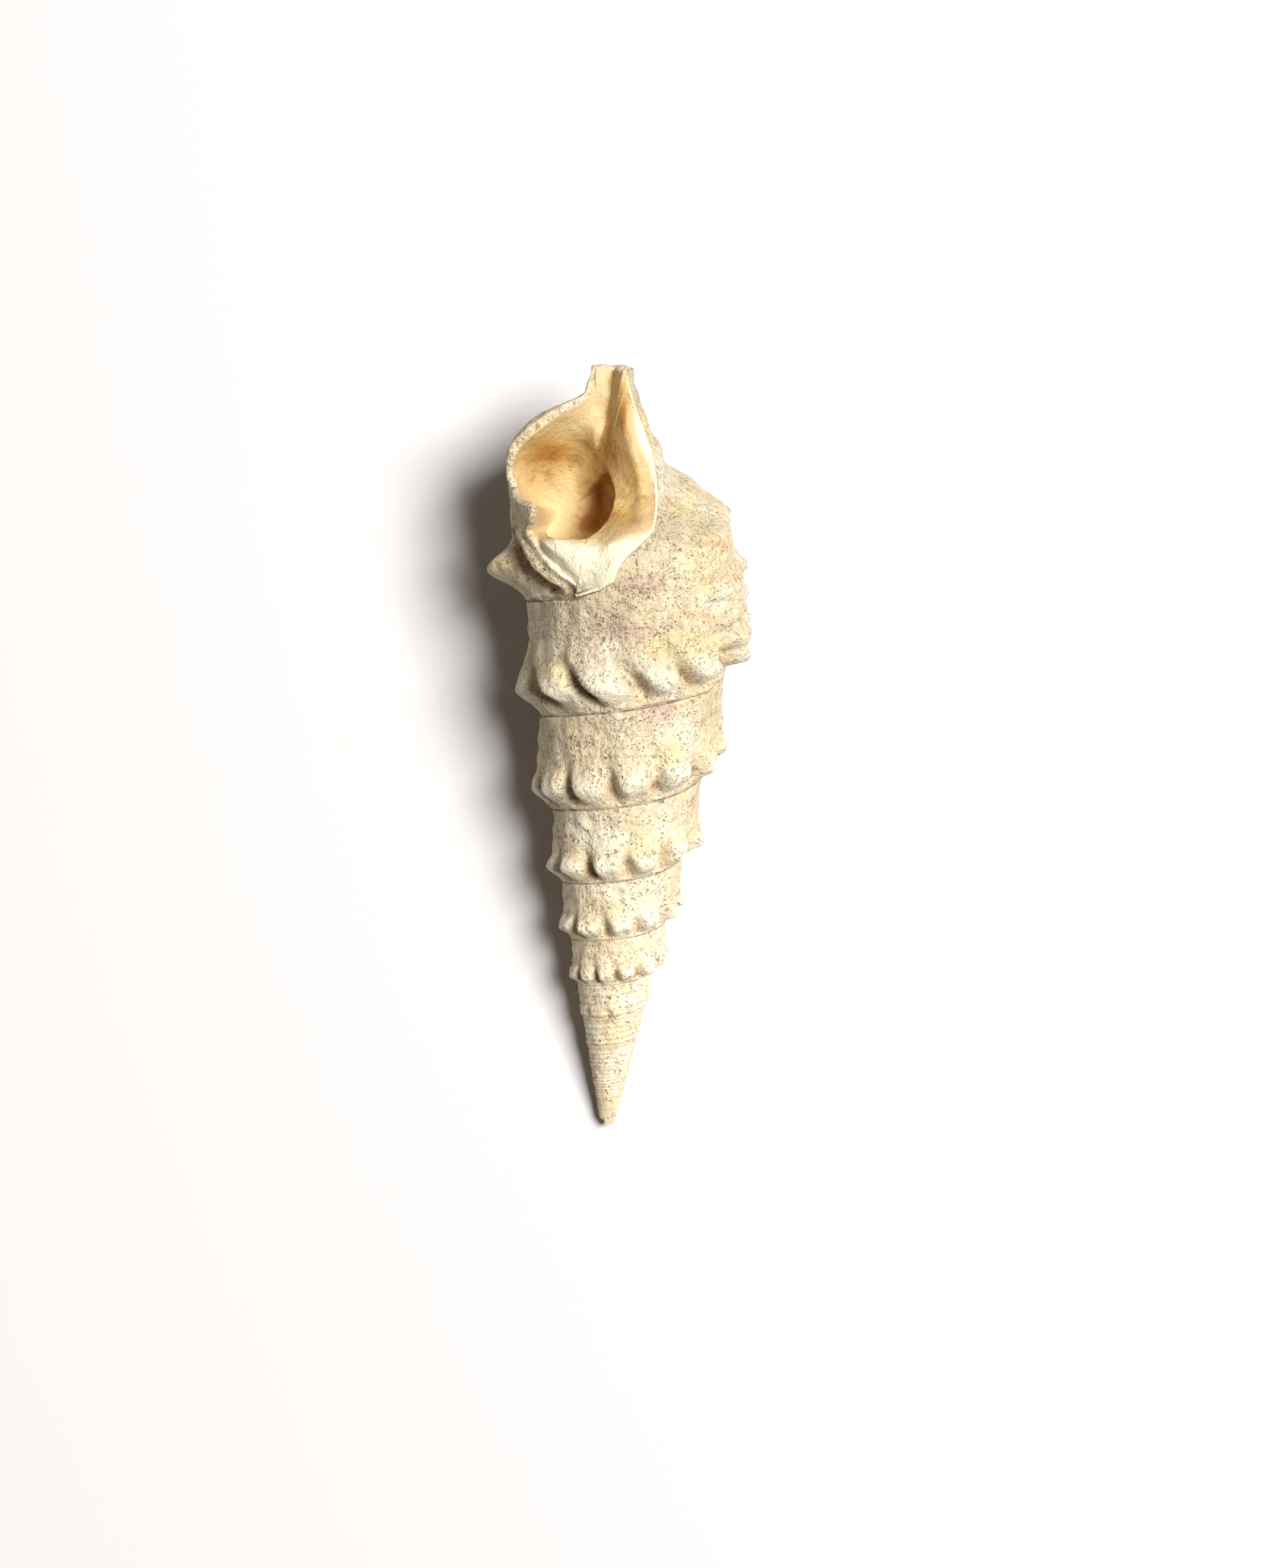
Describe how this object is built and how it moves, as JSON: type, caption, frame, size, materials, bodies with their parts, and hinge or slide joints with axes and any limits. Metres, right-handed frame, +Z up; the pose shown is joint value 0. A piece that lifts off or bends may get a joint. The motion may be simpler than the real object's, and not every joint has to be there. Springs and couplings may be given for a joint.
{
  "type": "fossil snail shell",
  "caption": "Fossil batillaria shell: a tall turreted spire with knobbed whorls, a short canal and a wide mouth, lying on its back on worn flat spots.",
  "frame": {"origin": "centre of the bounding box, on the surface that the shell lies on", "axes": "+Y along the shell from the pointed tip towards the canal, +Z up out of the mouth, +X to the right seen from above"},
  "size_m": [0.0154, 0.0446, 0.0137],
  "materials": {
    "fossil_shell": "matte"
  },
  "bodies": {
    "root": {"shell": "fossil_shell"}
  },
  "joints": []
}
